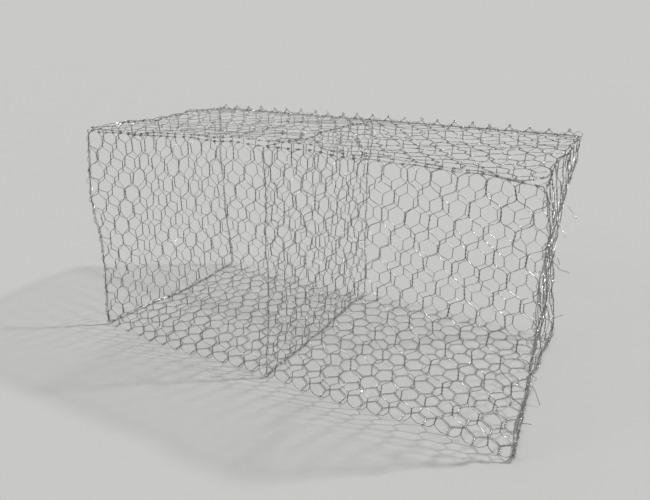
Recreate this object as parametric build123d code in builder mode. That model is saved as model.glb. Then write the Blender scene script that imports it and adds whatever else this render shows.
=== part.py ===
# Gabion basket: one wall module of woven hexagon mesh, with two cells under one lid
# Millimetres, +Z up, the wall runs along X, the front is at -Y, the lid is hinged along the back
# The origin is the middle of the underside

import os

from build123d import *

os.makedirs("parts", exist_ok=True)

# Driving dimensions
length = 2000
depth = 1000
height = 1000
mesh_wire = 2.7
edge_wire = 3.4
lacing_wire = 2.2

# The mesh: from twist to twist, from row to row, and along one twist
column_pitch = 170
row_pitch = 165
twist_length = 84

# Fits, and the few flats that stand for the round of an edge wire or a lacing tie
lid_gap = 5
hinge_clearance = 0.5
flats = 8

# Levels and lines worked out from the sizes above
edge_radius = edge_wire / 2
lid_level = height - edge_radius
back_top = lid_level - edge_wire - hinge_clearance
wall_top = height - edge_wire - lid_gap - edge_radius
side_x = length / 2 - edge_radius
side_y = depth / 2 - edge_radius
inner_y = depth / 2 - edge_wire
cell_width = length / 2 - edge_wire
sides = {"left": -1, "right": 1}
walls = {"front": (-1, wall_top), "back": (1, back_top)}

# How the sections of upright, lengthwise and crosswise pieces face
upright = Plane.XY
lengthwise = Plane.YZ
crosswise = Plane.ZX
facing_front = Plane.XZ


def plane_at(facing, x, y, z):
    """The same way of facing, moved to a place."""
    return Plane((x, y, z), x_dir=facing.x_dir, z_dir=facing.z_dir)


def count_in(size, pitch):
    """How many whole openings share a size."""
    return max(2, round(size / pitch))


def odd_count_in(size, pitch):
    """The same for the base, which has an odd count, so that the front and back meet it alike."""
    return 2 * max(1, round((size / pitch - 1) / 2)) + 1


def row_middles(low, high):
    """Levels of the middles of the mesh rows between two edges."""
    rows = count_in(high - low, row_pitch)
    return [low + (row + 0.5) * (high - low) / rows for row in range(rows)]


def save(piece, name):
    """Label a finished piece and write its file."""
    piece.part.label = name
    export_step(piece.part, f"parts/{name}.step")


# Woven mesh, with its openings cut from a sheet as thick as the wire
# A twist is two wires wide and lies between openings, a slope is one wire wide
# The edges cut the slopes half way, where the mesh folds or wraps its edge wire
def mesh_panel(plane, width, rise, rows, first_row_open=False):
    columns = count_in(width, column_pitch)
    half_pitch = width / columns / 2
    row_step = rise / rows
    slope_rise = row_step - twist_length
    steepness = slope_rise / half_pitch
    tip = twist_length / 2 + slope_rise - mesh_wire / 2 * (1 + steepness**2) ** 0.5
    waist = half_pitch - mesh_wire
    shoulder = tip - steepness * waist
    opening = [
        (waist, -shoulder),
        (waist, shoulder),
        (0, tip),
        (-waist, shoulder),
        (-waist, -shoulder),
        (0, -tip),
    ]
    with BuildPart() as panel:
        with BuildSketch(plane):
            Rectangle(width, rise)
            for row in range(-1, rows + 1):
                starts_at_edge = (row % 2 == 0) == first_row_open
                start = -width / 2 if starts_at_edge else half_pitch - width / 2
                level = (row + 0.5) * row_step - rise / 2
                with Locations(*[(start + 2 * half_pitch * i, level) for i in range(columns + 1)]):
                    Polygon(*opening, mode=Mode.SUBTRACT)
        extrude(amount=mesh_wire / 2, both=True)
    return panel


# Straight edge wire, drawn from its first end along the plane's normal
def edge_rod(plane, span):
    with BuildPart() as rod:
        with BuildSketch(plane):
            RegularPolygon(edge_radius, flats, major_radius=False, rotation=180 / flats)
        extrude(amount=span)
    return rod


# Lacing ties: closed rings of thin wire, each round the wires that it holds together
def lacing_ties(planes, inner_reach):
    outer_reach = inner_reach + lacing_wire
    turn = 180 / flats
    with BuildPart() as ties:
        with BuildSketch(*planes):
            RegularPolygon(outer_reach, flats, major_radius=False, rotation=turn)
            RegularPolygon(inner_reach, flats, major_radius=False, rotation=turn, mode=Mode.SUBTRACT)
        extrude(amount=lacing_wire / 2, both=True)
    return ties


# Main sheet: front, base, back and lid, one width of mesh to a cell, with an edge wire down each side
# The openings run on round both folds, so the base starts and ends with a row that is open at its sides
base_rows = odd_count_in(depth, row_pitch)
lid_rows = count_in(2 * inner_y, row_pitch)
for side, along in sides.items():
    cell_x = along * cell_width / 2
    edge_x = along * side_x
    base_plane = plane_at(upright, cell_x, 0, mesh_wire / 2)
    save(mesh_panel(base_plane, cell_width, depth, base_rows, True), f"base_mesh_{side}")
    save(edge_rod(plane_at(crosswise, edge_x, -depth / 2, edge_radius), depth), f"base_edge_{side}")
    for wall, (out, top) in walls.items():
        mesh_top = top - edge_radius
        mesh_rise = mesh_top - mesh_wire
        mesh_y = out * (depth - mesh_wire) / 2
        wall_plane = plane_at(facing_front, cell_x, mesh_y, (mesh_top + mesh_wire) / 2)
        wall_rows = count_in(mesh_rise, row_pitch)
        save(mesh_panel(wall_plane, cell_width, mesh_rise, wall_rows), f"{wall}_mesh_{side}")
        post_plane = plane_at(upright, edge_x, out * side_y, edge_wire)
        save(edge_rod(post_plane, mesh_top - edge_wire), f"{wall}_edge_{side}")
    lid_plane = plane_at(upright, cell_x, 0, lid_level)
    save(mesh_panel(lid_plane, cell_width, 2 * inner_y, lid_rows), f"lid_mesh_{side}")
    save(edge_rod(plane_at(crosswise, edge_x, -inner_y, lid_level), 2 * inner_y), f"lid_edge_{side}")

# Long edge wires: the rims of the front and back, and the free and hinged edges of the lid
for wall, (out, top) in walls.items():
    save(edge_rod(plane_at(lengthwise, -length / 2, out * side_y, top), length), f"{wall}_rim")
    save(edge_rod(plane_at(lengthwise, -length / 2, out * side_y, lid_level), length), f"lid_edge_{wall}")

# Cross panels: two ends that stand on the base edge wires, and a diaphragm that stands on the base mesh
cross_panels = {
    "left_end": (-side_x, edge_wire, False),
    "diaphragm": (0, mesh_wire, True),
    "right_end": (side_x, edge_wire, False),
}
for name, (x, seat, first_row_open) in cross_panels.items():
    reach = depth / 2 - seat
    mesh_reach = reach - edge_wire
    mesh_foot = seat + edge_wire
    mesh_rise = wall_top - edge_radius - mesh_foot
    middle = plane_at(lengthwise, x, 0, mesh_foot + mesh_rise / 2)
    panel_rows = count_in(mesh_rise, row_pitch)
    save(mesh_panel(middle, 2 * mesh_reach, mesh_rise, panel_rows, first_row_open), f"{name}_mesh")
    save(edge_rod(plane_at(crosswise, x, -reach, seat + edge_radius), 2 * reach), f"{name}_foot")
    save(edge_rod(plane_at(crosswise, x, -inner_y, wall_top), 2 * inner_y), f"{name}_rim")
    for wall, (out, top) in walls.items():
        post_y = out * (mesh_reach + edge_radius)
        save(edge_rod(plane_at(upright, x, post_y, mesh_foot), mesh_rise), f"{name}_post_{wall}")

# Corner lacing: ties round the edge wires of a wall and an end, in the rows whose edge openings are free
for wall, (out, top) in walls.items():
    rows = row_middles(mesh_wire, top - edge_radius)
    for side, along in sides.items():
        corner_planes = [plane_at(upright, along * side_x, out * inner_y, z) for z in rows[1::2]]
        save(lacing_ties(corner_planes, edge_wire), f"corner_lacing_{wall}_{side}")

# Diaphragm lacing: ties round its posts and the twists in the middle of the front and back
stack = mesh_wire + edge_wire
tie_offset = (stack**2 - mesh_wire**2) / (2 * stack)
for wall, (out, top) in walls.items():
    rows = row_middles(mesh_wire, top - edge_radius)
    tie_y = out * (depth / 2 - tie_offset)
    middle_planes = [plane_at(upright, 0, tie_y, z) for z in rows[0::2]]
    save(lacing_ties(middle_planes, stack - tie_offset), f"diaphragm_lacing_{wall}")

# Hinge lacing: ties that hold the back edge wire of the lid over the back rim, and let it turn
hinge_reach = edge_wire + hinge_clearance
hinge_level = back_top - edge_radius + hinge_reach
columns = count_in(cell_width, column_pitch)
hinge_places = [cell_width / columns * i for i in range(1 - columns, columns) if i]
hinge_planes = [plane_at(lengthwise, x, side_y, hinge_level) for x in hinge_places]
save(lacing_ties(hinge_planes, hinge_reach), "hinge_lacing")
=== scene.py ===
import math

import bpy
import numpy as np
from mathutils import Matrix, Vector


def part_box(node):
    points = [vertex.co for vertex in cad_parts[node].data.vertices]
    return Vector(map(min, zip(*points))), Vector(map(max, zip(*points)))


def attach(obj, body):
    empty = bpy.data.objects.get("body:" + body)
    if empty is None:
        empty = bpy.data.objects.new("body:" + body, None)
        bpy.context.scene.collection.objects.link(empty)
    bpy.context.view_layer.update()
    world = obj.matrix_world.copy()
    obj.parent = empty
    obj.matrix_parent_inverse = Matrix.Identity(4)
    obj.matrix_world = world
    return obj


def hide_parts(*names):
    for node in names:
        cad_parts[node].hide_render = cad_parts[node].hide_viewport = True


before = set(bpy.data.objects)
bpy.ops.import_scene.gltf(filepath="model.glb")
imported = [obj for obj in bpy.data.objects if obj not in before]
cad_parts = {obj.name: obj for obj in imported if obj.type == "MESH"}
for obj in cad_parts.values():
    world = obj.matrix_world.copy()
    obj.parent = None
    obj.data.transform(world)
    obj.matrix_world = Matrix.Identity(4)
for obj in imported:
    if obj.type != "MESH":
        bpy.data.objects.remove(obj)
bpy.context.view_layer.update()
bpy.ops.object.select_all(action="DESELECT")

# The view: the camera stands at the right end of the front, a little above the lid, and looks
# down and to the left along the wall.
view_place = (1.203, -2.243, 1.362)
view_down = math.radians(20.054)
view_left = math.radians(28.546)
view_roll = math.radians(0.737)
view_lens = 31.23
view_sensor = 36
bpy.ops.object.camera_add(location=view_place)
camera = bpy.context.object
camera.rotation_euler = (math.pi / 2 - view_down, -view_roll, view_left)
camera.data.lens = view_lens
camera.data.sensor_width = view_sensor
bpy.context.scene.camera = camera


# The floor and the room: a pale matt floor that takes the shadow of the wires and runs into a pale
# surround of the same tone. A sun stands high behind the right end, a wide one overhead, and a weak
# one fills in from the left of the front.
floor_size = 60
floor_tone = (0.558, 0.557, 0.547, 1)
floor_roughness = 0.9
floor_gloss = 0.1
surround_tone = (0.585, 0.585, 0.575, 1)
sky_tone = (0.95, 0.97, 1.0, 1)
sky_power = 0.22
bpy.ops.mesh.primitive_plane_add(size=floor_size)
floor = bpy.context.object
floor.name = "studio_floor"
floor_paint = bpy.data.materials.new("pale_floor")
floor_paint.use_nodes = True
floor_shader = floor_paint.node_tree.nodes["Principled BSDF"]
floor_shader.inputs["Base Color"].default_value = floor_tone
floor_shader.inputs["Roughness"].default_value = floor_roughness
floor_shader.inputs["Specular IOR Level"].default_value = floor_gloss
floor.data.materials.append(floor_paint)

# Each sun: where it stands, its power, its width in degrees and its colour.
sun_distance = 6
suns = {
    "key": ((0.56, 0.40, 0.72), 2.3, 4, (1.0, 0.985, 0.96)),
    "overhead": ((-0.10, 0.15, 1.0), 0.6, 60, (1.0, 1.0, 1.0)),
    "fill": ((-0.55, -0.65, 0.5), 0.7, 20, (0.96, 0.98, 1.0)),
}
for sun_name, (stands, power, spread, colour) in suns.items():
    bpy.ops.object.light_add(type="SUN", location=[sun_distance * part for part in stands])
    sun = bpy.context.object
    sun.name = f"sun_{sun_name}"
    sun.data.energy = power
    sun.data.angle = math.radians(spread)
    sun.data.color = colour
    sun.rotation_euler = Vector(stands).to_track_quat("Z", "Y").to_euler()

world = bpy.data.worlds.new("pale_room")
bpy.context.scene.world = world
world.use_nodes = True
room, room_links = world.node_tree.nodes, world.node_tree.links
sky_light = room["Background"]
sky_light.inputs["Color"].default_value = sky_tone
sky_light.inputs["Strength"].default_value = sky_power
backdrop = room.new("ShaderNodeBackground")
backdrop.inputs["Color"].default_value = surround_tone
rays = room.new("ShaderNodeLightPath")
seen = room.new("ShaderNodeMath")
seen.operation = "MAXIMUM"
seen_too = room.new("ShaderNodeMath")
seen_too.operation = "MAXIMUM"
surround = room.new("ShaderNodeMixShader")
room_links.new(rays.outputs["Is Camera Ray"], seen.inputs[0])
room_links.new(rays.outputs["Is Glossy Ray"], seen.inputs[1])
room_links.new(seen.outputs["Value"], seen_too.inputs[0])
room_links.new(rays.outputs["Is Transmission Ray"], seen_too.inputs[1])
room_links.new(seen_too.outputs["Value"], surround.inputs["Fac"])
room_links.new(sky_light.outputs["Background"], surround.inputs[1])
room_links.new(backdrop.outputs["Background"], surround.inputs[2])
room_links.new(surround.outputs["Shader"], room["World Output"].inputs["Surface"])
bpy.context.scene.view_settings.view_transform = "Standard"


# Zinc: every wire is drawn steel that was dipped in zinc. The coat is mottled grey with fine bright
# flecks, and is smoother in some patches than in others. The tone of each finish below is partly
# painted: painted shade on the mesh wires, painted light on the edge and lacing wires.
cloud_scale = 9
cloud_detail = 4
smoothest_zinc = 0.10
roughest_zinc = 0.36
fleck_strength = 0.25
fleck_depth = 0.0002
glance_tint = (0.45, 0.45, 0.45, 1)


def zinc_coat():
    """The node group of the coat: its colour, its roughness and the height of its flecks."""
    group = bpy.data.node_groups.new("zinc_coat", "ShaderNodeTree")
    for socket, kind in {"Dark Tone": "NodeSocketColor", "Bright": "NodeSocketColor"}.items():
        group.interface.new_socket(socket, in_out="INPUT", socket_type=kind)
    group.interface.new_socket("Fleck Scale", in_out="INPUT", socket_type="NodeSocketFloat")
    group.interface.new_socket("Color", in_out="OUTPUT", socket_type="NodeSocketColor")
    group.interface.new_socket("Roughness", in_out="OUTPUT", socket_type="NodeSocketFloat")
    group.interface.new_socket("Height", in_out="OUTPUT", socket_type="NodeSocketFloat")
    nodes, links = group.nodes, group.links
    given = nodes.new("NodeGroupInput")
    out = nodes.new("NodeGroupOutput")
    place = nodes.new("ShaderNodeTexCoord")
    flecks = nodes.new("ShaderNodeTexVoronoi")
    clouds = nodes.new("ShaderNodeTexNoise")
    clouds.inputs["Scale"].default_value = cloud_scale
    clouds.inputs["Detail"].default_value = cloud_detail
    mix = nodes.new("ShaderNodeMix")
    mix.data_type = "RGBA"
    blend = nodes.new("ShaderNodeMath")
    blend.operation = "MULTIPLY"
    rough = nodes.new("ShaderNodeMapRange")
    rough.inputs["To Min"].default_value = smoothest_zinc
    rough.inputs["To Max"].default_value = roughest_zinc
    links.new(place.outputs["Object"], flecks.inputs["Vector"])
    links.new(place.outputs["Object"], clouds.inputs["Vector"])
    links.new(given.outputs["Fleck Scale"], flecks.inputs["Scale"])
    links.new(flecks.outputs["Color"], blend.inputs[0])
    links.new(clouds.outputs["Fac"], blend.inputs[1])
    links.new(blend.outputs["Value"], mix.inputs["Factor"])
    links.new(given.outputs["Dark Tone"], mix.inputs["A"])
    links.new(given.outputs["Bright"], mix.inputs["B"])
    links.new(mix.outputs["Result"], out.inputs["Color"])
    links.new(clouds.outputs["Fac"], rough.inputs["Value"])
    links.new(rough.outputs["Result"], out.inputs["Roughness"])
    links.new(flecks.outputs["Distance"], out.inputs["Height"])
    return group


zinc = zinc_coat()


def wire_finish(name, dark_tone, bright, fleck_scale):
    """A metal that the coat mottles between a dark and a bright tone."""
    material = bpy.data.materials.new(name)
    material.use_nodes = True
    nodes, links = material.node_tree.nodes, material.node_tree.links
    shader = nodes["Principled BSDF"]
    shader.inputs["Metallic"].default_value = 1
    shader.inputs["Specular Tint"].default_value = glance_tint
    coat = nodes.new("ShaderNodeGroup")
    coat.node_tree = zinc
    coat.inputs["Dark Tone"].default_value = (*dark_tone, 1)
    coat.inputs["Bright"].default_value = (*bright, 1)
    coat.inputs["Fleck Scale"].default_value = fleck_scale
    bump = nodes.new("ShaderNodeBump")
    bump.inputs["Strength"].default_value = fleck_strength
    bump.inputs["Distance"].default_value = fleck_depth
    links.new(coat.outputs["Color"], shader.inputs["Base Color"])
    links.new(coat.outputs["Roughness"], shader.inputs["Roughness"])
    links.new(coat.outputs["Height"], bump.inputs["Height"])
    links.new(bump.outputs["Normal"], shader.inputs["Normal"])
    return material


# The mesh wire's dark tone is partly painted shade: it sits well below bare zinc, so the wires read
# as dark as wires that reflect a dark room.
mesh_zinc = wire_finish("mesh_zinc", (0.15, 0.148, 0.144), (0.97, 0.97, 0.97), 260)
# The edge and lacing wires are lighter copies of the same zinc. Their lighter tones are painted
# light, so joints where the wires crowd and shade each other do not read as a dark band.
edge_zinc = wire_finish("edge_zinc", (0.26, 0.258, 0.254), (0.92, 0.92, 0.92), 220)
lacing_zinc = wire_finish("lacing_zinc", (0.45, 0.45, 0.45), (0.96, 0.96, 0.96), 300)


# The set of the basket: it was pressed flat for transport and pulled open again, so every wire
# waves a little and some corners are dented. The hinge line stays straight and the underside flat.
length = 2.0
depth = 1.0
height = 1.0
hinge_freedom = 0.04
hinge_hold_reach = 0.25
floor_hold_reach = 0.2
wave_seed = 11
rng = np.random.default_rng(wave_seed)


def wave_bank(count, shortest, longest, reach):
    """Waves of any heading, between two lengths from crest to crest, that all push as far."""
    waves = []
    for _ in range(count):
        heading = rng.normal(size=3)
        heading *= math.tau / rng.uniform(shortest, longest) / np.linalg.norm(heading)
        push = rng.normal(size=3)
        push *= reach / np.linalg.norm(push)
        waves.append((heading, rng.uniform(0, math.tau), push))
    return waves


long_waves = wave_bank(7, 0.7, 1.6, 0.0045)
middle_waves = wave_bank(12, 0.2, 0.4, 0.0024)
short_waves = wave_bank(10, 0.09, 0.16, 0.0013)
waves = long_waves + middle_waves + short_waves
# Each dent: its middle, how far it spreads and how far it pushes.
dents = {
    "left end leans in": ((-1.0, -0.5, 0.75), (0.7, 1.0, 1.3), (0.036, 0, 0)),
    "left end bows out": ((-1.0, -0.5, 0.68), (0.4, 0.5, 0.36), (-0.034, 0, 0)),
    "left end's foot draws in": ((-1.0, 0.15, 0.0), (0.5, 0.65, 0.5), (0.046, 0, 0)),
    "front right corner bows out": ((1.0, -0.5, 0.42), (0.5, 0.6, 0.55), (0.034, 0, 0)),
    "front right corner bends out": ((1.0, -0.5, 0.84), (0.3, 0.5, 0.19), (0.036, 0, 0)),
    "front right corner swells": ((1.0, -0.5, 0.66), (0.3, 0.4, 0.14), (0.012, 0, 0)),
    "back right corner caves in": ((1.0, 0.5, 0.66), (0.5, 0.6, 0.3), (-0.034, 0, 0)),
    "back right corner bends in": ((1.0, 0.5, 0.45), (0.3, 0.5, 0.17), (-0.036, 0, 0)),
    "back right foot bulges": ((1.0, 0.42, 0.09), (0.4, 0.3, 0.2), (0.03, 0, 0)),
    "right foot bulges": ((1.0, 0.19, 0.0), (0.25, 0.14, 0.25), (0.018, 0, 0)),
    "front right post nicks in": ((1.0, -0.5, 0.13), (0.2, 0.25, 0.11), (-0.013, 0, 0)),
    "front right rim drops": ((0.95, -0.5, 1.0), (0.4, 0.5, 0.5), (0, 0, -0.009)),
    "front foot bulges": ((0.33, -0.5, 0.02), (0.5, 0.35, 0.4), (0, -0.024, 0)),
    "front left foot bulges": ((-0.55, -0.5, 0.02), (0.6, 0.35, 0.35), (0, -0.026, 0)),
    "front right foot kicks out": ((1.0, -0.5, 0.0), (0.35, 0.4, 0.4), (0.02, -0.024, 0)),
    "diaphragm's foot bends left": ((0.0, -0.42, 0.0), (0.18, 0.2, 0.25), (-0.026, 0, 0)),
}


def ease(value):
    """A soft step from 0 to 1."""
    value = np.clip(value, 0, 1)
    return value * value * (3 - 2 * value)


def settle(points, own_waves=()):
    """Moves points with the basket's dents and waves, and with the waves of one panel alone."""
    points = np.asarray(points, dtype=float)
    push = np.zeros_like(points)
    for heading, start, reach in [*waves, *own_waves]:
        push += np.sin(points @ heading + start)[:, None] * reach
    for middle, spread, reach in dents.values():
        away = np.linalg.norm((points - middle) / spread, axis=1)
        push += ease(1 - away)[:, None] * reach
    hinge_distance = np.hypot(points[:, 1] - depth / 2, points[:, 2] - height)
    freed = hinge_freedom + (1 - hinge_freedom) * ease(hinge_distance / hinge_hold_reach)
    push *= freed[:, None]
    push[:, 2] *= ease(points[:, 2] / floor_hold_reach)
    return points + push


# Woven mesh: two wires are twisted together for a turn and a half, part, and twist with their next
# neighbours in the row above. One twist is bent from wire, and is then repeated across and along.
mesh_radius = 0.00135
edge_radius = 0.0017
opening_width = 0.087
opening_step = 0.0755
twist_length = 0.040
twist_turns = 1.5
twist_bends = 12
coil_turns = 2.5
coil_bends = 19
coil_step = 3.4 * mesh_radius
weld_gap = 0.00005
# Where a slope bends on its way into the twist, as shares of the way up and of the way across.
slope_bends = ((0.42, 0.62), (0.78, 0.94))


def bent_wire(name, paths, radius, roundness=1, capped=True):
    """Round wire along each path of points, as a bevelled curve made a mesh."""
    bpy.ops.object.select_all(action="DESELECT")
    bpy.ops.curve.primitive_bezier_curve_add()
    wire = bpy.context.object
    wire.name = name
    wire.data.splines.clear()
    for path in paths:
        spline = wire.data.splines.new("POLY")
        spline.points.add(len(path) - 1)
        spline.points.foreach_set("co", np.c_[path, np.ones(len(path))].ravel())
    wire.data.dimensions = "3D"
    wire.data.twist_mode = "Z_UP"
    wire.data.bevel_depth = radius
    wire.data.bevel_resolution = roundness
    wire.data.use_fill_caps = capped
    bpy.ops.object.convert(target="MESH")
    return bpy.context.object


def select_only(piece):
    """Selects one piece and nothing else."""
    bpy.ops.object.select_all(action="DESELECT")
    piece.select_set(True)
    bpy.context.view_layer.objects.active = piece


def repeated(unit, name, place, counts, steps):
    """A copy of a unit, moved to its place and repeated by array modifiers across and along."""
    select_only(unit)
    bpy.ops.object.duplicate()
    block = bpy.context.object
    block.name = name
    block.location = (*place, 0)
    bpy.ops.object.transform_apply(location=True, rotation=False, scale=False)
    for axis, (count, step) in enumerate(zip(counts, steps)):
        if count > 1:
            array = block.modifiers.new("repeat", "ARRAY")
            array.count = count
            array.use_relative_offset = False
            array.use_constant_offset = True
            array.constant_offset_displace = [step if axis == i else 0 for i in range(3)]
            bpy.ops.object.modifier_apply(modifier=array.name)
    return block


def joined(blocks, name):
    """Blocks of wire made one piece, with the wires welded where they meet."""
    bpy.ops.object.select_all(action="DESELECT")
    for block in blocks:
        block.select_set(True)
    bpy.context.view_layer.objects.active = blocks[0]
    bpy.ops.object.join()
    piece = bpy.context.object
    piece.name = name
    bpy.ops.object.mode_set(mode="EDIT")
    bpy.ops.mesh.select_all(action="SELECT")
    bpy.ops.mesh.remove_doubles(threshold=weld_gap)
    bpy.ops.object.mode_set(mode="OBJECT")
    return piece


def twist_path(pitch, step, radius, turns, side):
    """One wire of a twist, from the middle of the slope below to the middle of the slope above.

    The wire of a slope is bent round into the twist, so it comes in ahead of the straight line.
    """
    leg = (step - twist_length) / 2
    along = np.linspace(0, 1, twist_bends + 1)
    angle = math.tau * turns * along
    turned, lifted = side * radius * np.cos(angle), side * radius * np.sin(angle)
    helix = np.c_[turned, twist_length * (along - 0.5), lifted]
    leaving = side * math.cos(math.tau * turns)
    rise = np.array([0, *(share for share, _ in slope_bends)])
    inward = np.array([0, *(share for _, share in slope_bends)])
    across = pitch / 4 + inward * (radius - pitch / 4)
    low = np.c_[side * across, -twist_length / 2 - leg * (1 - rise), 0 * rise]
    high = np.c_[leaving * across, twist_length / 2 + leg * (1 - rise), 0 * rise]
    return np.vstack([low, helix, high[::-1]])


def edge_wrap(pitch, step, side):
    """The outermost wire, which turns once round the edge wire and goes back into the mesh."""
    path = twist_path(pitch, step, mesh_radius + edge_radius, 1, side)
    path[1:-1, 0] -= side * edge_radius
    return path


def end_coil():
    """The cut end of a mesh wire, wound two and a half times round the wire along the edge."""
    reach = mesh_radius + edge_radius
    turns = np.linspace(0, coil_turns, coil_bends)
    angle = math.tau * turns
    return np.c_[coil_step * turns, reach * np.cos(angle) - reach, reach * np.sin(angle)]


def woven(name, width, rise, coiled=(), shifted=False):
    """Flat mesh with its lower left corner at the origin, and coils along the edges that are named.

    A shifted piece starts with the row whose twists lie between the others.
    """
    columns = round(width / opening_width)
    rows = 2 * round((rise / opening_step - 1) / 2) + 1
    pitch, step = width / columns, rise / rows
    pair = [twist_path(pitch, step, mesh_radius, twist_turns, side) for side in (1, -1)]
    units = {
        "twist": bent_wire("twist", pair, mesh_radius, capped=False),
        "left": bent_wire("left", [edge_wrap(pitch, step, 1)], mesh_radius, capped=False),
        "right": bent_wire("right", [edge_wrap(pitch, step, -1)], mesh_radius, capped=False),
        "coil": bent_wire("coil", [end_coil()], mesh_radius),
    }
    whole, between = (rows // 2, rows // 2 + 1) if shifted else (rows // 2 + 1, rows // 2)
    first_whole, first_between = (1.5 * step, 0.5 * step) if shifted else (0.5 * step, 1.5 * step)
    apart = (pitch, 2 * step)
    blocks = [
        repeated(units["twist"], name, (pitch, first_whole), (columns - 1, whole), apart),
        repeated(units["twist"], name, (pitch / 2, first_between), (columns, between), apart),
        repeated(units["left"], name, (0, first_whole), (1, whole), apart),
        repeated(units["right"], name, (width, first_whole), (1, whole), apart),
    ]
    coil_level = {"low": 0, "high": rise + 2 * (mesh_radius + edge_radius)}
    for edge in coiled:
        start = (pitch / 4, coil_level[edge])
        blocks.append(repeated(units["coil"], name, start, (2 * columns, 1), (pitch / 2, 0)))
    for unit in units.values():
        bpy.data.objects.remove(unit)
    return joined(blocks, name)


def laid(piece, place, own_waves=()):
    """Takes flat mesh or wire to its place in the basket, and lets it settle there."""
    count = len(piece.data.vertices)
    flat = np.empty(3 * count)
    piece.data.vertices.foreach_get("co", flat)
    placed = settle(place(flat.reshape(-1, 3)), own_waves)
    piece.data.vertices.foreach_set("co", placed.ravel())
    piece.data.update()
    select_only(piece)
    bpy.ops.object.mode_set(mode="EDIT")
    bpy.ops.mesh.select_all(action="SELECT")
    bpy.ops.mesh.normals_make_consistent(inside=False)
    bpy.ops.object.mode_set(mode="OBJECT")
    bpy.ops.object.shade_smooth()


def fitted(piece, material, slot, body, *nodes):
    """Finish and body of a piece, and the plain solids that it stands for. The slot is not used."""
    piece.data.materials.clear()
    piece.data.materials.append(material)
    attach(piece, body)
    if nodes:
        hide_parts(*nodes)


# Main sheet: one width of mesh runs down the front, under the stone and up the back. It turns each
# fold in a small bend, where its slopes hang down in round arcs from twist to twist.
fold_radius = 0.010
join_rise = 0.009
fold_hang = 0.007
hang_reach = 0.020
base_level = 2 * mesh_radius + edge_radius
wrap_reach = mesh_radius + edge_radius
wall_y = -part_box("front_rim")[0][1] - edge_radius
rim_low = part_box("front_rim")[0][2] + edge_radius
rim_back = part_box("back_rim")[0][2] + edge_radius
sheet_half = length / 2 - 2 * edge_radius
front_top = rim_low - wrap_reach
back_top = rim_back - wrap_reach
bend = fold_radius * math.pi / 2
front_drop = front_top - base_level - fold_radius
base_run = 2 * (wall_y - fold_radius)
back_climb = back_top - base_level - fold_radius
front_join = front_drop + bend / 2 - join_rise
back_join = front_drop + bend + base_run + bend / 2 + join_rise
sheet_end = front_drop + 2 * bend + base_run + back_climb
sheet_columns = round(2 * sheet_half / opening_width)
sheet_pitch = 2 * sheet_half / sheet_columns


def girth(points):
    """Points of the flat sheet, taken round the front, the base and the back."""
    across, along, off = np.asarray(points).T
    turn_one = np.clip((along - front_drop) / fold_radius, 0, math.pi / 2)
    turn_two = np.clip((along - front_drop - bend - base_run) / fold_radius, 0, math.pi / 2)
    heading = turn_one + turn_two
    down = np.minimum(along, front_drop)
    over = np.clip(along - front_drop - bend, 0, base_run)
    up = np.maximum(along - front_drop - 2 * bend - base_run, 0)
    y = -wall_y + fold_radius * (1 - np.cos(turn_one)) + over + fold_radius * np.sin(turn_two)
    z = front_top - down - fold_radius * np.sin(turn_one) + fold_radius * (1 - np.cos(turn_two)) + up
    return np.c_[across, y - off * np.cos(heading), z - off * np.sin(heading)]


def hanging(points):
    """Points of the flat sheet, with the slopes at both folds drawn down into arcs."""
    across, along, off = points.T
    arcs = np.sin(math.tau * (across + sheet_half) / sheet_pitch) ** 2
    for join, down in ((front_join, 1), (back_join, -1)):
        near = ease(1 - np.abs(along - join) / hang_reach)
        along = along + down * fold_hang * arcs * near
    return np.c_[across, along, off]


def sheet_part(name, start, end, coiled, shifted, *nodes):
    """A length of the main sheet, from start to end along it, that stands for plain solids."""
    part = woven(name, 2 * sheet_half, end - start, coiled, shifted)
    laid(part, lambda flat: girth(hanging(flat + (-sheet_half, start, 0))))
    fitted(part, mesh_zinc, "mesh_wire", "basket", *nodes)


sheet_part("woven_front", 0, front_join, ["low"], False, "front_mesh_left", "front_mesh_right")
sheet_part("woven_base", front_join, back_join, [], True, "base_mesh_left", "base_mesh_right")
sheet_part("woven_back", back_join, sheet_end, [], False, "back_mesh_left", "back_mesh_right")

# The tips of the mesh above the back rim: the last slopes go on past the rim as a twisted pair, meet
# in a small open loop and come down again. They stand up in an uneven row along the back edge.
tip_bends = 40
tip_twists = 4.5
tip_loops = (0.0025, 0.0065)
tip_rises = (0.027, 0.035)
tip_shifts = (-0.008, 0.008)
tip_leans = (-0.1, 0.25)
tip_turn = (-40, 220)
tip_turn_bends = 9
# Both legs of a tip, as shares of the way across and of the way up.
tip_legs = ((0.02, 0), (0.26, 0.3), (0.74, 0.3), (0.98, 0))


def tip_pair(number):
    """The two wires of a tip, from a slope up to the loop and down to the next slope."""
    loop = rng.uniform(*tip_loops)
    rise = rng.uniform(*tip_rises) - loop
    shift = rng.uniform(*tip_shifts)
    lean = rng.uniform(*tip_leans)
    middle = (number + 0.5) * sheet_pitch + shift
    turn = np.radians(np.linspace(*tip_turn, tip_turn_bends))
    over = np.c_[middle + loop * np.cos(turn), rise + loop * np.sin(turn)]
    feet = [((number + share) * sheet_pitch, level * rise) for share, level in tip_legs]
    path = np.vstack([feet[:2], over, feet[2:]])
    run = np.r_[0, np.cumsum(np.linalg.norm(np.diff(path, axis=0), axis=1))]
    along = np.linspace(0, run[-1], tip_bends)
    across, up = np.interp(along, run, path[:, 0]), np.interp(along, run, path[:, 1])
    angle = math.tau * tip_twists * along / run[-1]
    off = np.linspace(mesh_radius, -mesh_radius, tip_bends) - lean * up
    swing, lift = mesh_radius * np.cos(angle), mesh_radius * np.sin(angle)
    return [np.c_[across + side * swing, up, off + side * lift] for side in (1, -1)]


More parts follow.
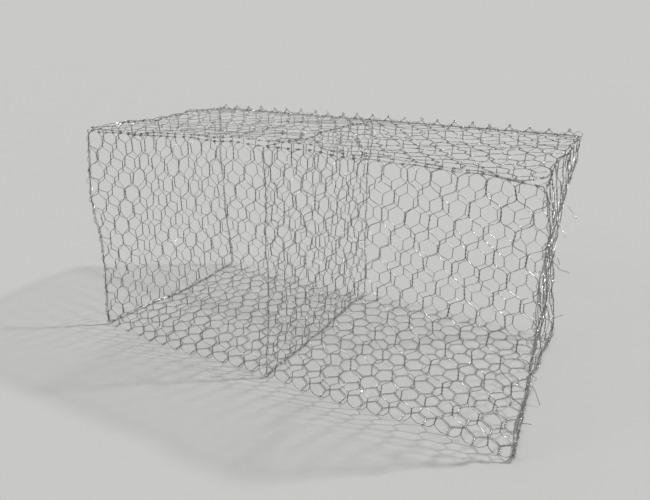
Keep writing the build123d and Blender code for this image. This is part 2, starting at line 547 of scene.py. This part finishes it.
tip_wires = [wire for number in range(sheet_columns) for wire in tip_pair(number)]
tips = bent_wire("back_tips", tip_wires, mesh_radius)
laid(tips, lambda flat: girth(flat + (-sheet_half, sheet_end, 0)))
fitted(tips, mesh_zinc, "mesh_wire", "basket")

# Edge wires of the main sheet: a thicker wire down each side, which the outermost mesh wires wrap,
# and one along each rim. They are drawn straight and settle with the mesh.
edge_bend_step = 0.0125
edge_roundness = 2
sheet_side_bends = 300
edge_x = length / 2 - edge_radius


def spaced(path, closed=False):
    """Points along the same line, an even step apart."""
    path = np.asarray(path, dtype=float)
    if closed:
        path = np.vstack([path, path[:1]])
    run = np.r_[0, np.cumsum(np.linalg.norm(np.diff(path, axis=0), axis=1))]
    stations = np.linspace(0, run[-1], round(run[-1] / edge_bend_step))
    return np.column_stack([np.interp(stations, run, path[:, axis]) for axis in range(3)])


def edge_wire(name, path, body, *nodes, closed=False, own_waves=()):
    """A length of edge wire along points in the basket, divided so that it can bend."""
    points = settle(spaced(path, closed), own_waves)
    wire = bent_wire(name, [points], edge_radius, edge_roundness)
    bpy.ops.object.shade_smooth()
    fitted(wire, edge_zinc, "edge_wire", body, *nodes)


sheet_run = np.linspace(-wrap_reach, sheet_end + wrap_reach, sheet_side_bends)
for side, edge in {"left": -edge_x, "right": edge_x}.items():
    path = girth(np.c_[np.full_like(sheet_run, edge), sheet_run, np.zeros_like(sheet_run)])
    replaced = [f"{wall}_edge_{side}" for wall in ("front", "base", "back")]
    edge_wire(f"sheet_side_{side}", path, "basket", *replaced)
for wall, level in {"front": rim_low, "back": rim_back}.items():
    y = wall_y if wall == "back" else -wall_y
    edge_wire(f"{wall}_rim_wire", [(-edge_x, y, level), (edge_x, y, level)], "basket", f"{wall}_rim")


# Cross panels: the two ends and the diaphragm. Each is a piece of mesh in a frame of edge wire with
# round corners. It stands inside the main sheet and has waves of its own between the lacing turns.
panel_waves = {
    "left_end": wave_bank(8, 0.16, 0.45, 0.0021),
    "diaphragm": wave_bank(8, 0.16, 0.45, 0.0024),
    "right_end": wave_bank(8, 0.16, 0.45, 0.0026),
}
corner_radius = 0.022
corner_bends = 6


def framed(half, low, high, corner):
    """The outline of a frame with round corners, as points across and up."""
    turn = np.linspace(0, math.pi / 2, corner_bends)
    centres = [(half - corner, low + corner), (half - corner, high - corner)]
    centres += [(-half + corner, high - corner), (-half + corner, low + corner)]
    outline = []
    for quarter, (across, up) in enumerate(centres):
        angle = turn + (quarter - 1) * math.pi / 2
        outline += list(zip(across + corner * np.cos(angle), up + corner * np.sin(angle)))
    return np.array(outline)


panel_seats = {"left_end": -edge_x, "diaphragm": 0, "right_end": edge_x}
panel_half = wall_y - 2 * edge_radius - mesh_radius
panel_low = base_level + 2 * mesh_radius + edge_radius
panel_high = rim_low
for panel, seat in panel_seats.items():
    outline = framed(panel_half, panel_low, panel_high, corner_radius)
    frame_path = np.c_[np.full(len(outline), seat), outline]
    replaced = [f"{panel}_{part}" for part in ("foot", "rim", "post_front", "post_back")]
    own = panel_waves[panel]
    edge_wire(f"{panel}_frame", frame_path, "basket", *replaced, closed=True, own_waves=own)
    mesh_half = panel_half - edge_radius
    mesh_low, mesh_high = panel_low + wrap_reach, panel_high - wrap_reach
    sheet = woven(f"woven_{panel}", 2 * mesh_half, mesh_high - mesh_low, ["low", "high"])
    laid(
        sheet,
        lambda flat: np.c_[seat + flat[:, 2], flat[:, 0] - mesh_half, flat[:, 1] + mesh_low],
        own,
    )
    fitted(sheet, mesh_zinc, "mesh_wire", "basket", f"{panel}_mesh")

# Lid: one piece of mesh in its own frame of edge wire. It sags between the cross panels, bows up a
# little over the diaphragm along its free edge, and turns on the lacing along its back edge. The mesh
# draws its short edges in from wrap to wrap, and the corner at the front right is curled.
lid_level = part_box("lid_edge_front")[0][2] + edge_radius
lid_half_x = edge_x
lid_half_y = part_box("lid_edge_back")[1][1] - edge_radius
lid_back_gap = 0.0052
lid_back_y = lid_half_y - lid_back_gap
lid_front_y = -lid_half_y
lid_corner = 0.042
cell_length = length / 2
lid_sag = 0.014
lid_bow = 0.014
lid_bow_middle = 0.05
lid_bow_run = 0.6
lid_draw = 0.007
lid_draw_start = 0.864
lid_draw_run = 0.12
lid_curl = np.array((-0.012, 0.004, 0.013))
lid_curl_reach = 0.09
lid_waves = wave_bank(8, 0.16, 0.4, 0.0017)


def sagging(points):
    """The lid's own shape: its sag, its bow, its drawn short edges and its curled corner."""
    points = np.asarray(points, dtype=float)
    x, y, _ = points.T
    along = np.sin(math.pi * np.clip(np.abs(x) / cell_length, 0, 1)) ** 2
    between = along * np.cos(math.pi * np.clip(y / depth, -0.5, 0.5)) ** 2
    free = ease((lid_back_y - y) / depth) * ease(1 - np.abs(x - lid_bow_middle) / lid_bow_run)
    short_edge = ease((np.abs(x) - lid_draw_start) / lid_draw_run)
    drawn = short_edge * np.sin(math.pi * (y - lid_front_y) / (2 * opening_step)) ** 2
    corner = ease(1 - np.hypot(x - lid_half_x, y - lid_front_y) / lid_curl_reach)
    moved = np.c_[-lid_draw * np.sign(x) * drawn, 0 * x, lid_bow * free - lid_sag * between]
    return points + moved + corner[:, None] * lid_curl


lid_middle = (lid_front_y + lid_back_y) / 2
lid_reach = (lid_back_y - lid_front_y) / 2
outline = framed(lid_reach, -lid_half_x, lid_half_x, lid_corner)
lid_path = np.c_[outline[:, 1], outline[:, 0] + lid_middle, np.full(len(outline), lid_level)]
lid_frame_nodes = [f"lid_edge_{part}" for part in ("front", "back", "left", "right")]
lid_path = spaced(lid_path, closed=True)
edge_wire("lid_frame", sagging(lid_path), "lid", *lid_frame_nodes, own_waves=lid_waves)
lid_width = 2 * (lid_half_x - edge_radius)
lid_rise = 2 * (lid_reach - wrap_reach)
lid = woven("woven_lid", lid_width, lid_rise, ["low", "high"])
laid(
    lid,
    lambda flat: sagging(flat + (-lid_width / 2, lid_front_y + wrap_reach, lid_level)),
    lid_waves,
)
fitted(lid, mesh_zinc, "mesh_wire", "lid", "lid_mesh_left", "lid_mesh_right")

# Lacing: one thin wire along each joint. It sweeps round the wires that it ties once to an opening,
# and is pulled into two tight turns where it passes a twist. Along the foot of each cross panel it is
# wound in an even spiral.
lacing_radius = 0.0011
lacing_step = 0.1
turn_bends = 9
tight_turns = 2
tight_time = 0.67
tight_run = 0.08


def lacing_path(start, end, reach_one, reach_two, slack=0):
    """Points of a lacing wire from start to end, round a joint of that reach both ways.

    Each tie is two tight turns, and a loose one leads to the next. Where there is slack, the loose
    turns stand off by uneven amounts.
    """
    start, end = np.array(start, dtype=float), np.array(end, dtype=float)
    run = np.linalg.norm(end - start)
    ties = max(1, round(run / lacing_step))
    tie_turns = tight_turns + 1
    beats = np.linspace(0, ties, ties * tie_turns * turn_bends)
    tie = np.floor(beats)
    tight = np.clip((beats - tie) / tight_time, 0, 1)
    loose = np.clip((beats - tie - tight_time) / (1 - tight_time), 0, 1)
    turns = tie * tie_turns + tight_turns * tight + loose
    along = (tie + tight_run * tight + (1 - tight_run) * loose) / ties
    stand_off = slack * rng.uniform(0, 1, ties + 1)[tie.astype(int)]
    swell = (1 + stand_off * np.sin(math.pi * loose) ** 2)[:, None]
    angle = math.tau * turns[:, None]
    turned = np.cos(angle) * reach_one + np.sin(angle) * reach_two
    return start + along[:, None] * (end - start) + swell * turned


def lacing(name, path, *nodes):
    """A settled lacing wire on the basket, which may stand for the plain ties of a node."""
    wire = bent_wire(name, [settle(path)], lacing_radius)
    bpy.ops.object.shade_smooth()
    fitted(wire, lacing_zinc, "lacing_wire", "basket", *nodes)


corner_y = (wall_y + panel_half) / 2
corner_levels = (base_level + fold_radius, rim_low - wrap_reach)
corner_slack = 1.7
reach_across = np.array((0.0065, 0, 0))
reach_out = np.array((0, 0.0085, 0))
for wall, out in {"front": -1, "back": 1}.items():
    for side, edge in {"left": -edge_x, "right": edge_x}.items():
        run = [(edge, out * corner_y, level) for level in corner_levels]
        path = lacing_path(*run, reach_across, reach_out, corner_slack)
        lacing(f"corner_wire_{wall}_{side}", path, f"corner_lacing_{wall}_{side}")
    run = [(0, out * corner_y, level) for level in corner_levels]
    path = lacing_path(*run, reach_across, reach_out)
    lacing(f"diaphragm_wire_{wall}", path, f"diaphragm_lacing_{wall}")
foot_level = (base_level + panel_low) / 2
foot_reach = np.array((0, 0, foot_level - lacing_radius))
foot_across = np.array((0.0052, 0, 0))
foot_turns = 70


def spiral_path(start, end, turns, reach_one, reach_two):
    """Points of an even spiral of wire from start to end."""
    along = np.linspace(0, 1, turns * turn_bends)[:, None]
    angle = math.tau * turns * along
    start, end = np.array(start, dtype=float), np.array(end, dtype=float)
    return start + along * (end - start) + np.cos(angle) * reach_one + np.sin(angle) * reach_two


foot_end = wall_y - fold_radius
for panel, seat in panel_seats.items():
    run = [(seat, y, foot_level) for y in (-foot_end, foot_end)]
    lacing(f"{panel}_foot_wire", spiral_path(*run, foot_turns, foot_across, foot_reach))
reach_hinge_out = np.array((0, 0.0092, 0))
reach_hinge_up = np.array((0, 0, 0.0088))
hinge_level = (rim_back + lid_level) / 2
hinge_run = [(x, wall_y, hinge_level) for x in (-edge_x, edge_x)]
lacing("hinge_wire", lacing_path(*hinge_run, reach_hinge_out, reach_hinge_up), "hinge_lacing")

# Loose ends: cut ends of mesh wire that were left standing out of the right end, an open loop and a
# curled end at its foot, and a hook that is bent back to the rim at the back. Each starts behind a
# wire of the mesh. One bright end of lacing wire stands out at the front.
loose_bends = 10
behind_mesh = np.array(((-0.012, 0, 0.020), (-0.006, 0, 0.006)))
hook_lean = 0.0015
hook_y = wall_y + edge_radius + mesh_radius
# Each end of mesh wire: where it starts, how far it reaches and how far it bends on the way.
loose_ends = {
    "upper": ((1.013, 0.473, 0.697), (0.067, -0.040, -0.069), 0.003),
    "middle": ((1.023, 0.453, 0.574), (0.031, -0.025, -0.029), 0.002),
    "short": ((1.003, 0.156, 0.542), (0.025, -0.011, -0.031), 0.002),
    "long": ((0.998, 0.029, 0.570), (0.081, 0.239, -0.133), -0.008),
    "back": ((0.999, 0.382, 0.152), (0.053, 0.001, 0.036), 0.003),
    "foot": ((0.999, -0.093, 0.086), (0.057, -0.049, -0.077), 0.004),
    "front": ((1.006, -0.334, 0.052), (0.025, -0.031, 0.031), 0.002),
}
bright_end = [
    (0.915, -0.492, 0.862),
    (0.922, -0.503, 0.868),
    (0.936, -0.508, 0.874),
    (0.944, -0.509, 0.879),
]


def loose_path(start, reach, hang):
    """A springy end of wire that starts behind the mesh and bends as it comes out."""
    start = np.array(start)
    along = np.linspace(0, 1, loose_bends)[:, None]
    free = start + along * reach + np.sin(math.pi * along) * (hang, 0, hang)
    return np.vstack([start + behind_mesh, free])


def open_arc(middle, reach, first, last, bends):
    """Points of an open turn of wire that stands up along the wall, between two angles."""
    turn = np.radians(np.linspace(first, last, bends))
    return middle + reach * np.c_[np.cos(turn), np.linspace(-1, 1, bends), np.sin(turn)]


foot_loop = open_arc(
    middle=(edge_x - 0.024, 0.39, 0.09), reach=(0.034, 0.038, 0.045), first=-108, last=108, bends=12
)
foot_curl = open_arc(
    middle=(edge_x + 0.009, 0.05, 0.0135), reach=(0.012, 0.004, 0.009), first=-60, last=200, bends=12
)
hook_turn = open_arc(
    middle=(0.989, hook_y - hook_lean, 1.0015),
    reach=(0.0175, -hook_lean, 0.0135),
    first=-135,
    last=120,
    bends=16,
)
hook_start = [(0.944, hook_y, rim_back), (0.968, hook_y, rim_back)]
hook_end = (0.960, wall_y, rim_back + edge_radius)
hook = np.vstack([hook_start, hook_turn, hook_end])
loose_paths = [loose_path(*end) for end in loose_ends.values()] + [foot_loop, foot_curl, hook]
bent_wire("loose_ends", [settle(path) for path in loose_paths], mesh_radius)
bpy.ops.object.shade_smooth()
fitted(bpy.context.object, mesh_zinc, "mesh_wire", "basket")
bent_wire("bright_tie", [settle(bright_end)], lacing_radius)
bpy.ops.object.shade_smooth()
fitted(bpy.context.object, lacing_zinc, "lacing_wire", "basket")
